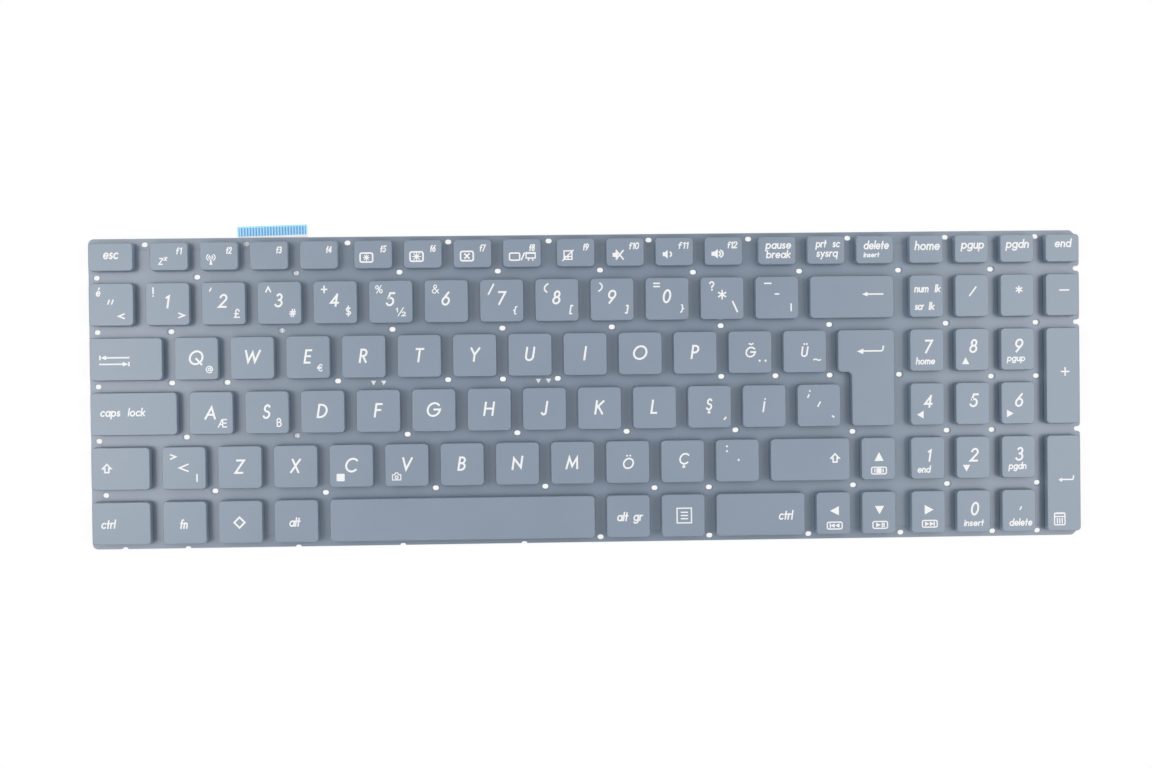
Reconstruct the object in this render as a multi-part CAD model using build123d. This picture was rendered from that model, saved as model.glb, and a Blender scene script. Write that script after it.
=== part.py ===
# Laptop replacement keyboard: a thin backplate with a switch membrane, low key caps on scissor links
# and rubber domes, and a flat ribbon tail that leaves at the rear.
# x runs from the left edge of the backplate, y is negative from its rear edge to the front, z is up.
import math
import os

from build123d import *

# Key grid, in mm
key_pitch = 19.0
row_pitch = 18.72
cap_gap = 3.85
first_width = 15.4
enter_width = 19.85
group_gap = 5.25
function_pitch = 17.0
function_width = 13.25
function_depth = 9.9
keypad_pitch = 15.87
keypad_width = keypad_pitch - cap_gap

# Margins from the caps to the edges of the backplate
left_margin = 1.1
right_margin = 1.45
rear_margin = 1.55
front_margin = 1.8

# Key caps
travel = 1.8
press_clearance = 0.2
cap_height = 2.2
cap_wall = 0.9
cap_draft = 5.2
cap_corner = 1.1

# Sheets and ribbon
tail_thickness = 0.2
plate_thickness = 0.6
membrane_thickness = 0.25
membrane_inset = 4.0
window_clearance = 0.3
contact_pitch = 1.0
contact_count = 24
tail_reach = 4.2
tail_under_plate = 74.0
tail_start = 53.0
tail_skew = 1.5
stiffener_length = 3.4
stiffener_thickness = 0.15
slot_clearance = 0.9

# Holes and edges of the backplate
stake_length = 2.1
stake_width = 1.65
stake_sides = 8
stake_line_rear = 2.05
stake_line_front = 1.75
stake_column = 2.7
stake_set_back = 1.05
left_corner = 2.0
right_corner = 3.0
edge_notch_depth = 0.65
space_notch_offset = 21.0

# Domes and links
dome_crown = 1.9
dome_sides = 6
link_bar = 0.75
link_thickness = 0.45
link_clearance = 0.08

# Levels that follow from the sizes above
plate_bottom = tail_thickness
plate_top = plate_bottom + plate_thickness
membrane_top = plate_top + membrane_thickness
cap_bottom = membrane_top + travel + press_clearance
cap_top = cap_bottom + cap_height
cap_ceiling = cap_top - cap_wall

row_depth = row_pitch - cap_gap
block_left = left_margin
letters_left = block_left + first_width + cap_gap
block_right = letters_left + 12.5 * key_pitch + enter_width
keypad_left = block_right + group_gap
plate_width = keypad_left + 3 * keypad_pitch + keypad_width + right_margin
plate_depth = rear_margin + function_depth + 5 * row_pitch + front_margin

# The scissor frames fill the narrowest cap that moves, one inside the other, around the dome
outer_half = keypad_width / 2 - cap_wall - link_clearance
inner_half = outer_half - link_bar - link_clearance
dome_base = inner_half - link_bar - link_clearance
frame_length = row_depth - 2 * cap_wall - 2 * link_clearance


def row_rear(row):
    """Rear edge of the caps in a row, counted from 1 at the rear."""
    if row == 1:
        return -rear_margin
    return -(rear_margin + function_depth + cap_gap + (row - 2) * row_pitch)


def row_front(row):
    """Front edge of the caps in a row."""
    return row_rear(row) - (function_depth if row == 1 else row_depth)


def gap_line(row):
    """Middle of the gap in front of a row."""
    return row_front(row) - cap_gap / 2


# Every key as name: (left edge, right edge, rear row, front row)
keys = {}


def add_key(name, left, right, row, last_row=None):
    keys[name] = (left, right, row, last_row or row)


def add_run(names, left, pitch, width, row):
    for name in names.split():
        add_key(name, left, left + width, row)
        left += pitch
    return left


# Function row: escape, then groups that end flush with the key block
function_group = 3 * function_pitch + function_width + group_gap
service_left = block_right - 2 * function_pitch - function_width
add_key("escape", block_left, block_left + first_width, 1)
for group, names in enumerate(("f1 f2 f3 f4", "f5 f6 f7 f8", "f9 f10 f11 f12", "pause print delete")):
    add_run(names, service_left - (3 - group) * function_group, function_pitch, function_width, 1)

# Letter rows: each one is staggered by quarters of the pitch
letter_width = key_pitch - cap_gap
arrow_left = block_right - keypad_width
letter_rows = {
    2: ("grave", 0.0, "one two three four five six seven eight nine zero star minus"),
    3: ("tab", 0.5, "q w e r t y u i o p g_breve u_umlaut"),
    4: ("caps_lock", 0.75, "a s d f g h j k l s_cedilla i_dotted comma"),
    5: ("left_shift", 0.25, "less z x c v b n m o_umlaut c_cedilla period"),
    6: ("left_ctrl", 0.25, "fn system left_alt"),
}
row_end = {}
for row, (first, stagger, names) in letter_rows.items():
    left = letters_left + stagger * key_pitch
    add_key(first, block_left, left - cap_gap, row)
    row_end[row] = add_run(names, left, key_pitch, letter_width, row)
enter_step = row_end[4] - row_end[3]
add_key("backspace", row_end[2], block_right, 2)
add_key("enter", row_end[3], block_right, 3, 4)
add_key("right_shift", row_end[5], arrow_left - cap_gap, 5)

# Front row, and the arrow keys in the keypad's size at the right end of the block
alt_gr_left = row_end[6] + 5 * key_pitch
add_key("space", row_end[6], alt_gr_left - cap_gap, 6)
control_left = add_run("alt_gr menu", alt_gr_left, key_pitch, letter_width, 6)
add_key("right_ctrl", control_left, arrow_left - keypad_pitch - cap_gap, 6)
add_run("left down", arrow_left - keypad_pitch, keypad_pitch, keypad_width, 6)
add_key("up", arrow_left, block_right, 5)

# Keypad: four columns over all six rows, with two tall keys
keypad_rows = {
    1: "home page_up page_down end",
    2: "num_lock divide multiply subtract",
    3: "pad_7 pad_8 pad_9",
    4: "pad_4 pad_5 pad_6",
    5: "pad_1 pad_2 pad_3",
    6: "right pad_0 pad_delete",
}
for row, names in keypad_rows.items():
    add_run(names, keypad_left, keypad_pitch, keypad_width, row)
last_column = keypad_left + 3 * keypad_pitch
add_key("add", last_column, last_column + keypad_width, 3, 4)
add_key("pad_enter", last_column, last_column + keypad_width, 5, 6)

# Keys that travel are those of the letter and front rows with the arrows. The others stand fixed.
arrows = ("up", "left", "down", "right")
upper_keys = [n for n, k in keys.items() if k[2] <= 2 and k[0] < keypad_left]
keypad_keys = [n for n, k in keys.items() if k[0] >= keypad_left and n not in arrows]
moving_keys = [n for n in keys if n not in upper_keys + keypad_keys]


def after(name):
    """Middle of the gap to the right of a key."""
    right, row = keys[name][1], keys[name][2]
    following = [k[0] for k in keys.values() if k[2] <= row <= k[3] and k[0] > right]
    return (right + min(following)) / 2


def key_centre(name):
    left, right, row, last_row = keys[name]
    return (left + right) / 2, (row_rear(row) + row_front(last_row)) / 2


def cap_plans(name):
    """Rectangles that a key cap covers at its lower rim. Only the enter key has two, in an L."""
    left, right, row, last_row = keys[name]
    spans = [(left, row, last_row)]
    if name == "enter":
        spans = [(left, row, row), (left + enter_step, row, last_row)]
    plans = []
    for edge, first, last in spans:
        middle = Pos((edge + right) / 2, (row_rear(first) + row_front(last)) / 2, cap_bottom)
        plans.append(middle * Rectangle(right - edge, row_rear(first) - row_front(last)))
    return plans


def key_cap(name):
    """Hollow cap with drafted sides and cut corners."""
    body = Part()
    for plan in cap_plans(name):
        body += extrude(chamfer(plan.vertices(), cap_corner), amount=cap_height, taper=cap_draft)
    for plan in cap_plans(name):
        hollow = offset(plan, amount=-cap_wall, kind=Kind.INTERSECTION)
        body -= extrude(hollow, amount=cap_ceiling - cap_bottom)
    return body


def carrier_centre(name):
    """Where the dome stands: the middle of the cap, or of the lower leg of the stepped one."""
    x, y = key_centre(name)
    return (x + enter_step / 2, y) if name == "enter" else (x, y)


def dome(name):
    """Rubber dome from the membrane to the ceiling of the cap."""
    x, y = carrier_centre(name)
    height = cap_ceiling - membrane_top
    taper = math.degrees(math.atan((dome_base - dome_crown) / height))
    plan = RegularPolygon(dome_base, dome_sides, major_radius=False)
    return extrude(Pos(x, y, membrane_top) * plan, amount=height, taper=taper)


def links(name):
    """Crossed pair of scissor frames around the dome, or a pair each side of it under a long key."""
    x, y = carrier_centre(name)
    half_width = (keys[name][1] - keys[name][0]) / 2 - cap_wall
    spread = outer_half + dome_base + link_clearance
    centres = [x]
    if half_width > spread + outer_half:
        spread = max(spread, half_width / 2)
        centres = [x - spread, x + spread]
    rise = cap_ceiling - membrane_top - 2 * link_clearance
    tilt = math.degrees(math.asin((rise - link_thickness) / frame_length))
    frames = []
    for half, turn in ((outer_half, tilt), (inner_half, -tilt)):
        plan = Rectangle(2 * half, frame_length)
        plan -= Rectangle(2 * (half - link_bar), frame_length - 2 * link_bar)
        frame = Rot(X=turn) * extrude(plan, amount=link_thickness / 2, both=True)
        frames += [Pos(centre, y, (cap_ceiling + membrane_top) / 2) * frame for centre in centres]
    return frames


# Stake holes by the keys whose right-hand gap they stand in, as (line, names, set back to the rear)
stake_rows = (
    (gap_line(1), "f1 zero pause delete page_up", 0),
    (gap_line(1), "f3 f5 f7 f9", stake_set_back),
    (gap_line(2), "tab w r y i p u_umlaut pad_7", 0),
    (gap_line(3), "pad_8", 0),
    (gap_line(3), "tab q e t y u p g_breve u_umlaut enter", stake_set_back),
    (gap_line(4), "right_shift pad_4 pad_5", 0),
    (gap_line(4), "caps_lock s f h k s_cedilla", stake_set_back),
    (gap_line(5), "x o_umlaut c_cedilla right_shift pad_1 pad_3", 0),
    (gap_line(5), "less v n", stake_set_back),
    (-stake_line_rear, "escape f2 f4 f6 f8 f10 f12 print home page_down", 0),
    (stake_line_front - plate_depth, "space menu right_ctrl down pad_0 pad_delete", 0),
)
stakes = [(after(n), line + back) for line, names, back in stake_rows for n in names.split()]
stakes += [(stake_column, gap_line(row)) for row in (1, 4)]
stakes.append((stake_column + stake_length, gap_line(5)))
# The outermost holes of two lines hold the board down and are true ovals. The others have flat sides.
screw_stakes = [(x, gap_line(row)) for row in (2, 3) for x in (stake_column, after("pad_9"))]

# Backplate
plate = Pos(plate_width / 2, -plate_depth / 2) * Rectangle(plate_width, plate_depth)
plate = fillet(plate.vertices().group_by(Axis.X)[0], left_corner)
plate = chamfer(plate.vertices().group_by(Axis.X)[-1], right_corner)
oval = SlotOverall(stake_length, stake_width)
turns = [math.pi * (2 * side + 1) / stake_sides for side in range(stake_sides)]
flat_side = 1 / math.cos(math.pi / stake_sides)
corners = [(stake_length / 2 * math.cos(t), stake_width / 2 * math.sin(t)) for t in turns]
flat_oval = scale(Polygon(*corners), flat_side)
plate -= [Pos(x, y) * oval for x, y in screw_stakes]
plate -= [Pos(x, y) * flat_oval for x, y in stakes]
edge_slot = Rectangle(2 * stake_length, stake_width)
plate -= [Pos(plate_width, gap_line(row)) * edge_slot for row in (1, 2, 4)]
space_x = key_centre("space")[0]
notches = [key_centre(name)[0] for name in ("left_ctrl", "fn", "left_alt")]
notches += [space_x - space_notch_offset, space_x + space_notch_offset]
notch_y = edge_notch_depth - stake_width / 2 - plate_depth
plate -= [Pos(x, notch_y) * flat_oval for x in notches]

# Ribbon tail: it leaves the membrane through a slot and lies askew under the backplate
tail_width = contact_count * contact_pitch
tail_x = tail_start + tail_width / 2
tail_place = Pos(tail_x, -tail_under_plate) * Rot(Z=tail_skew)
tail_length = tail_under_plate + tail_reach
strip = Pos(0, tail_length / 2, tail_thickness / 2) * Box(tail_width, tail_length, tail_thickness)
riser_box = Box(tail_width, tail_thickness, plate_top)
riser = Pos(0, tail_thickness / 2, plate_top / 2) * riser_box
ribbon_tail = tail_place * (strip + riser)
stiffener_place = Pos(0, tail_length - stiffener_length / 2, tail_thickness + stiffener_thickness / 2)
ribbon_stiffener = tail_place * stiffener_place * Box(tail_width, stiffener_length, stiffener_thickness)
slot = Rectangle(tail_width + 2 * slot_clearance, tail_thickness + 2 * slot_clearance)
plate -= Pos(tail_x, -tail_under_plate) * slot
backplate = extrude(Pos(0, 0, plate_bottom) * plate, amount=plate_thickness)

# Membrane: it stays inside the outer hole lines and is cut clear of the other stakes
film_size = (plate_width - 2 * membrane_inset, plate_depth - 2 * membrane_inset)
film = Pos(plate_width / 2, -plate_depth / 2) * Rectangle(*film_size)
window = stake_length + 2 * window_clearance
film -= [Pos(x, y) * Rectangle(window, window) for x, y in stakes + screw_stakes]
membrane = extrude(Pos(0, 0, plate_top) * film, amount=membrane_thickness)

nodes = {
    "backplate": backplate,
    "membrane": membrane,
    "ribbon_tail": ribbon_tail,
    "ribbon_stiffener": ribbon_stiffener,
    "rubber_domes": Compound([dome(n) for n in moving_keys]),
    "scissor_links": Compound([link for n in moving_keys for link in links(n)]),
    "upper_row_keys": Compound([key_cap(n) + dome(n) for n in upper_keys]),
    "keypad_keys": Compound([key_cap(n) + dome(n) for n in keypad_keys]),
}
for name in moving_keys:
    nodes["key_" + name] = key_cap(name)

# The frame stands under the middle of the whole outline
rear_end = ribbon_tail.bounding_box().max.Y
frame = Pos(-plate_width / 2, (plate_depth - rear_end) / 2, 0)
os.makedirs("parts", exist_ok=True)
for name, piece in nodes.items():
    export_step(frame * piece, f"parts/{name}.step")
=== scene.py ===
import math

import bmesh
import bpy
from mathutils import Matrix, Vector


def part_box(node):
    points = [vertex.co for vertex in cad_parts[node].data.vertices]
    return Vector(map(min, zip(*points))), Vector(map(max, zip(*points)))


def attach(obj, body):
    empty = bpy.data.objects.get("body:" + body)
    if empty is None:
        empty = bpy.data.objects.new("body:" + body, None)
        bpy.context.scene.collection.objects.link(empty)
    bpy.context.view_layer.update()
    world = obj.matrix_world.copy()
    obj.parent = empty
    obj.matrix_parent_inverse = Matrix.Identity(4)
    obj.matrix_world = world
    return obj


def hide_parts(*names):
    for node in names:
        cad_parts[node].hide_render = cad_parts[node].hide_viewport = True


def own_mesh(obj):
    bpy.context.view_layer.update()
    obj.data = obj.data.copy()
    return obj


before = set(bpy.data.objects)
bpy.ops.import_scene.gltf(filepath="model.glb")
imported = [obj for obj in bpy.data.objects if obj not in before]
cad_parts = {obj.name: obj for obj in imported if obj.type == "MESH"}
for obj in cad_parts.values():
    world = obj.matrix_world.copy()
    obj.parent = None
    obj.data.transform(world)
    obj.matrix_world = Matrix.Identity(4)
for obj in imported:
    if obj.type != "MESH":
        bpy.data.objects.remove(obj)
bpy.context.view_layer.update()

bpy.ops.object.select_all(action="DESELECT")


# Backplate: steel sheet under the whole board, stamped out in one stroke and coated matt slate grey.
# Oval holes take the stakes of the laptop's case, the front and right edges are notched for its ribs,
# and a long slot lets the ribbon through. It is cut from a blank here, in millimetres, and deburred.
def open_piece(name):
    """Names the primitive that was just added, settles its place and opens it for shaping."""
    piece = bpy.context.object
    piece.name = piece.data.name = name
    bpy.ops.object.transform_apply(location=True, rotation=True, scale=True)
    bpy.ops.object.mode_set(mode="EDIT")
    return piece


def close_piece():
    """Turns all faces of the open piece outwards and closes it."""
    bpy.ops.mesh.select_all(action="SELECT")
    bpy.ops.mesh.normals_make_consistent(inside=False)
    bpy.ops.object.mode_set(mode="OBJECT")


def pick(kind, test):
    """Selects the corners, edges or faces of the open piece that pass a test."""
    bpy.ops.mesh.select_mode(type=kind)
    bpy.ops.mesh.select_all(action="DESELECT")
    shape = bmesh.from_edit_mesh(bpy.context.object.data)
    for part in {"VERT": shape.verts, "EDGE": shape.edges, "FACE": shape.faces}[kind]:
        part.select_set(test(part))
    shape.select_flush_mode()
    bmesh.update_edit_mesh(bpy.context.object.data)


def middle(edge):
    return (edge.verts[0].co + edge.verts[1].co) / 2


def upright(edge):
    run = edge.verts[1].co - edge.verts[0].co
    return abs(run.z) > 0.99 * run.length


def rim(edge):
    """Whether an edge runs round the top or the bottom of a sheet."""
    return not upright(edge) and len(edge.link_faces) == 2 and edge.calc_face_angle() > 1.2


def make_active(pieces):
    bpy.ops.object.select_all(action="DESELECT")
    for piece in pieces:
        piece.select_set(True)
    bpy.context.view_layer.objects.active = pieces[0]


def join(pieces, name):
    """Makes one object of several."""
    make_active(pieces)
    if len(pieces) > 1:
        bpy.ops.object.join()
    pieces[0].name = pieces[0].data.name = name
    return pieces[0]


def copy_to(pattern, name, x, y):
    """Copy of a finished pattern with its own mesh, moved to its place on the board."""
    piece = pattern.copy()
    piece.data = pattern.data.copy()
    piece.name = piece.data.name = name
    bpy.context.scene.collection.objects.link(piece)
    piece.data.transform(Matrix.Translation((x, y, 0)))
    return piece


def cut(piece, cutters):
    """Takes the cutters' shape out of a piece."""
    tool = join(cutters, "cutter")
    make_active([piece])
    bpy.ops.object.modifier_add(type="BOOLEAN")
    modifier = piece.modifiers[-1]
    modifier.operation, modifier.solver, modifier.object = "DIFFERENCE", "EXACT", tool
    bpy.ops.object.modifier_apply(modifier=modifier.name)
    bpy.data.objects.remove(tool)


def settle(piece, body, slot, *nodes):
    """Brings a piece from millimetres to metres, shades it and fixes it to the body that carries it."""
    make_active([piece])
    piece.scale = (0.001, 0.001, 0.001)
    bpy.ops.object.transform_apply(location=True, rotation=True, scale=True)
    bpy.ops.object.shade_smooth_by_angle(angle=math.radians(38))
    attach(piece, body)
    if nodes:
        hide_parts(*nodes)


class Shade:
    """Socket of a material's nodes that adds, subtracts and multiplies like a number."""

    def __init__(self, tree, socket=None):
        self.tree, self.socket = tree, socket

    def node(self, kind, settings=None, inputs=None, output=0):
        """Adds a node, sets it up, feeds its sockets and gives one of its outputs."""
        made = self.tree.nodes.new("ShaderNode" + kind)
        for name, value in (settings or {}).items():
            setattr(made, name, value)
        for name, value in (inputs or {}).items():
            if isinstance(value, Shade):
                self.tree.links.new(value.socket, made.inputs[name])
            else:
                made.inputs[name].default_value = value
        return Shade(self.tree, made.outputs[output] if made.outputs else None)

    def math(self, operation, first, second):
        return self.node("Math", {"operation": operation}, {0: first, 1: second})

    def __add__(self, other):
        return self.math("ADD", self, other)

    def __sub__(self, other):
        return self.math("SUBTRACT", self, other)

    def __rsub__(self, other):
        return self.math("SUBTRACT", other, self)

    def __mul__(self, other):
        return self.math("MULTIPLY", self, other)

    def __gt__(self, other):
        return self.math("GREATER_THAN", self, other)

    __radd__, __rmul__ = __add__, __mul__

    def noise(self, scale, detail=2.0):
        """Soft noise over the piece, with features of about 1 / scale metres."""
        place = self.node("TexCoord", output="Object")
        return self.node("TexNoise", None, {"Vector": place, "Scale": scale, "Detail": detail})

    def blend(self, share, first, second):
        """Colour between two others."""
        settings = {"data_type": "RGBA", "clamp_factor": True}
        return self.node("Mix", settings, {0: share, 6: first, 7: second}, output=2)


def new_finish(name):
    """Empty material and the start of its nodes."""
    material = bpy.data.materials.new(name)
    material.use_nodes = True
    material.node_tree.nodes.clear()
    return material, Shade(material.node_tree)


def surface(shade, inputs):
    """Closes a material with its shader."""
    shader = shade.node("BsdfPrincipled", None, inputs)
    shade.node("OutputMaterial", None, {"Surface": shader})


def satin_slate(name, dark, pale, roughness, sheen, grain_size, depth):
    """Satin slate grey surface with a fine grain and a slow drift of tone."""
    material, shade = new_finish(name)
    drift = shade.noise(45.0, 3.0)
    grain = shade.noise(1 / grain_size, 2.0)
    bump = shade.node("Bump", None, {"Strength": 0.35, "Distance": depth, "Height": grain})
    surface(shade, {
        "Base Color": shade.blend(drift * 0.75 + grain * 0.25, (*dark, 1), (*pale, 1)),
        "Roughness": roughness + 0.08 * drift - 0.05 * grain,
        "Specular IOR Level": sheen,
        "Normal": bump,
    })
    return material


sheet_grey = satin_slate(
    "coated_steel", (0.203, 0.260, 0.342), (0.240, 0.304, 0.390), 0.31, 1.0, 0.00022, 0.000014)

plate_left, plate_right, plate_rear, plate_front = -172.015, 172.015, 51.1815, -55.6685
plate_bottom, plate_top = 0.2, 0.8
plate_depth = plate_rear - plate_front
left_corner, right_corner, right_corner_round, deburr = 2.0, 3.0, 0.7, 0.05
hole_length, hole_width, mouth_round, cut_depth = 2.1, 1.65, 0.9, 3.0
slot_x, slot_y, slot_length, slot_width, slot_round = -107.015, -22.8185, 25.8, 2.0, 0.9
# Holes by line, as the distance of the line from the middle of the board and places along it
hole_lines = {
    49.132: (-152.79, -117.94, -83.19, -48.44, -13.69, 21.06, 55.81, 90.56, 124.88, 156.62),
    38.856: (-100.94, -65.44, -31.44, 4.06),
    37.806: (-169.315, -134.94, 36.41, 73.56, 108.31, 140.75),
    19.087: (-169.315, -144.09, -106.09, -68.09, -30.09, 7.91, 45.91, 83.91, 124.88, 156.62),
    1.417: (-144.09, -125.09, -87.09, -49.09, -30.09, -11.09, 45.91, 64.91, 83.91, 108.31),
    0.367: (-169.315, 140.75, 156.62),
    -17.303: (-139.34, -101.34, -63.34, -25.34, 12.66, 50.66),
    -18.353: (-169.315, 91.74, 124.88, 140.75),
    -36.023: (-129.84, -53.84, -15.84),
    -37.073: (-167.215, -91.84, 22.16, 41.16, 91.74, 124.88, 156.62),
    -53.918: (3.16, 41.16, 75.87, 108.31, 140.75, 156.62),
}
rib_lines = (37.806, 19.087, -18.353)
front_notches, front_notch_y = (-160.84, -139.34, -101.34, -65.34, -23.34), -55.8435


def oval_cutter(length, width):
    """Upright cutter with the plan of a stretched circle."""
    bpy.ops.mesh.primitive_cylinder_add(vertices=20, radius=width / 2, depth=cut_depth)
    piece = open_piece("oval_cutter")
    for side in (-1, 1):
        pick("VERT", lambda v: v.co.x * side > 0.01)
        bpy.ops.transform.translate(value=(side * (length - width) / 2, 0, 0))
    bpy.ops.object.mode_set(mode="OBJECT")
    return piece


bpy.ops.mesh.primitive_cube_add(
    size=1, location=(0, (plate_rear + plate_front) / 2, (plate_bottom + plate_top) / 2),
    scale=(plate_right - plate_left, plate_depth, plate_top - plate_bottom))
plate = open_piece("backplate_sheet")
pick("EDGE", lambda e: upright(e) and middle(e).x < 0)
bpy.ops.mesh.bevel(offset=left_corner, segments=6)
pick("EDGE", lambda e: upright(e) and middle(e).x > 0)
bpy.ops.mesh.bevel(offset=right_corner, segments=1)
pick("EDGE", lambda e: upright(e) and middle(e).x > 0)
bpy.ops.mesh.bevel(offset=right_corner_round, segments=3)
bpy.ops.object.mode_set(mode="OBJECT")

oval = oval_cutter(hole_length, hole_width)
cutters = [copy_to(oval, "cutter", x, y) for y, line in hole_lines.items() for x in line]
cutters += [copy_to(oval, "cutter", x, front_notch_y) for x in front_notches]
rib_slot = oval_cutter(2 * hole_length, hole_width)
cutters += [copy_to(rib_slot, "cutter", plate_right, y) for y in rib_lines]
bpy.ops.mesh.primitive_cube_add(
    size=1, location=(slot_x, slot_y, 0), scale=(slot_length, slot_width, cut_depth))
open_piece("ribbon_slot")
pick("EDGE", upright)
bpy.ops.mesh.bevel(offset=slot_round, segments=5)
bpy.ops.object.mode_set(mode="OBJECT")
cutters.append(bpy.context.object)
cut(plate, cutters)

make_active([plate])
bpy.ops.object.mode_set(mode="EDIT")
rib_mouths = [y + side * hole_width / 2 for y in rib_lines for side in (-1, 1)]
pick("EDGE", lambda e: upright(e) and middle(e).x > plate_right - 0.01
     and min(abs(middle(e).y - y) for y in rib_mouths) < 0.02)
bpy.ops.mesh.bevel(offset=mouth_round, segments=4)
pick("EDGE", rim)
bpy.ops.mesh.bevel(offset=deburr, segments=1)
close_piece()
plate.data.materials.append(sheet_grey)
settle(plate, "base", "coated_metal", "backplate")


# Ribbon tail: flat polyester strip that leaves the membrane through the slot and lies under the plate.
# Silver conductors are printed on it side by side, white lacquer covers them near the end, and the end
# stands out at the rear edge.
tail_skew, tail_length = math.radians(1.5), 78.2
tail_root, conductor_pitch, lacquer_start = (slot_x / 1000, slot_y / 1000, 0), 0.001, 0.0733


def along_conductors(shade):
    """Place across the strip, in pitches of its conductors, and place along it in metres."""
    place = shade.node("TexCoord", output="Object")
    settings = {"vector_type": "TEXTURE"}
    turned = shade.node("Mapping", settings, {
        "Vector": place, "Location": tail_root, "Rotation": (0, 0, tail_skew)})
    across = shade.node("SeparateXYZ", None, {0: turned}, output=0)
    along = shade.node("SeparateXYZ", None, {0: turned}, output=1)
    return across * (1 / conductor_pitch), along


ribbon_film, shade = new_finish("ribbon_film")
across, along = along_conductors(shade)
bare = 1 - (along > lacquer_start)
conductor = (shade.math("PINGPONG", across, 0.5) > 0.2) * bare
haze = shade.noise(300.0, 3.0)
surface(shade, {
    "Base Color": shade.blend(conductor, (0.94, 0.95, 0.96, 1), (0.70, 0.73, 0.79, 1)),
    "Roughness": 0.3 + 0.15 * haze,
    "Coat Weight": 0.2,
})
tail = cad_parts["ribbon_tail"]
tail.data.materials.clear()
tail.data.materials.append(ribbon_film)


# Ribbon stiffener: blue polyester tape bonded to the end of the tail so that it can be pushed into
# its socket. The conductors show through it as stripes, and its cut edges carry a painted highlight.
tape_width, tape_length, tape_thickness, tape_level = 24.0, 3.4, 0.15, 0.275
tape_corner, tape_edge = 0.35, 0.03
# Where the painted highlight on the tape's sides and far end begins, across and along the strip
highlight_band_across, highlight_band_along = 11.55, 0.0777
blue_tape, shade = new_finish("blue_tape")
across, along = along_conductors(shade)
stripe = shade.math("PINGPONG", across, 0.5) > 0.24
# Painted highlight: a pale cyan band along both sides and the far end of the tape, standing in for light
# caught by its cut edges
painted_edge_highlight = shade.math("MAXIMUM", shade.math("ABSOLUTE", across, 0) > highlight_band_across, along > highlight_band_along)
haze = shade.noise(500.0, 3.0)
tint = shade.blend(stripe, (0.42, 0.77, 0.98, 1), (0.13, 0.39, 0.80, 1))
surface(shade, {
    "Base Color": shade.blend(painted_edge_highlight, tint, (0.46, 0.91, 1.0, 1)),
    "Roughness": 0.22 + 0.12 * haze,
    "Coat Weight": 0.3,
})
bpy.ops.mesh.primitive_cube_add(size=1, scale=(tape_width, tape_length, tape_thickness))
tape = open_piece("ribbon_contact_end")
pick("EDGE", upright)
bpy.ops.mesh.bevel(offset=tape_corner, segments=4)
pick("EDGE", rim)
bpy.ops.mesh.bevel(offset=tape_edge, segments=1)
close_piece()
reach = tail_length - tape_length / 2
tape.data.transform(Matrix.Translation((slot_x, slot_y, tape_level))
                    @ Matrix.Rotation(tail_skew, 4, "Z") @ Matrix.Translation((0, reach, 0)))
tape.data.materials.append(blue_tape)
settle(tape, "base", "blue_film", "ribbon_stiffener")


# Membrane: printed switch film that lies on the plate inside its edges. It is cut clear of the stakes
# and has the same slate grey as the plate, so that only the edges of its windows show.
film_grey = satin_slate(
    "printed_film", (0.204, 0.262, 0.346), (0.242, 0.306, 0.394), 0.31, 1.0, 0.00030, 0.000010)
film_inset, film_top, film_corner, window_margin = 4.0, 1.05, 1.5, 0.6
bpy.ops.mesh.primitive_cube_add(
    size=1, location=(0, (plate_rear + plate_front) / 2, (plate_top + film_top) / 2),
    scale=(plate_right - plate_left - 2 * film_inset, plate_depth - 2 * film_inset, film_top - plate_top))
film = open_piece("membrane_film")
pick("EDGE", upright)
bpy.ops.mesh.bevel(offset=film_corner, segments=5)
bpy.ops.object.mode_set(mode="OBJECT")
window = oval_cutter(hole_length + window_margin, hole_width + window_margin)
windows = [copy_to(window, "cutter", x, y) for y, line in hole_lines.items() for x in line]
cut(film, windows)
for pattern in (oval, rib_slot, window):
    bpy.data.objects.remove(pattern)
make_active([film])
bpy.ops.object.mode_set(mode="EDIT")
pick("EDGE", lambda e: rim(e) and middle(e).z > film_top - 0.01)
bpy.ops.mesh.bevel(offset=deburr, segments=1)
close_piece()
film.data.materials.append(film_grey)
settle(film, "base", "film", "membrane")


# Domes and scissor frames: under each cap a silicone dome stands on the film as its spring, and a
# crossed pair of moulded frames keeps the cap level. Long caps have a pair of frames each side.
# The sets of the fixed keys form one piece.
cap_ceiling = 4.35
set_height = cap_ceiling - film_top
frame_half, frame_bar, frame_thickness, frame_play = 5.03, 0.75, 0.45, 0.08
frame_corner, frame_edge, longest_frame, frame_margin = 0.28, 0.09, 12.9, 1.96
shoe_reach, shoe_length, shoe_height, shoe_level, shoe_edge, pin_radius = 5.05, 1.5, 0.46, 0.24, 0.12, 0.3
dome_rings = ((3.3, 0.0), (3.3, 0.22), (3.02, 0.42), (2.42, 1.55), (2.05, 2.2), (1.86, 2.45), (1.8, 3.2))

silicone, shade = new_finish("milky_silicone")
cloud = shade.noise(900.0, 2.0)
surface(shade, {
    "Base Color": shade.blend(cloud, (0.70, 0.73, 0.75, 1), (0.80, 0.82, 0.83, 1)),
    "Roughness": 0.38 + 0.14 * cloud,
    "Subsurface Weight": 0.25,
    "Subsurface Scale": 0.0006,
})
frame_plastic, shade = new_finish("natural_nylon")
cloud = shade.noise(700.0, 3.0)
surface(shade, {
    "Base Color": shade.blend(cloud, (0.76, 0.78, 0.79, 1), (0.86, 0.87, 0.87, 1)),
    "Roughness": 0.42 + 0.16 * cloud,
})


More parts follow.
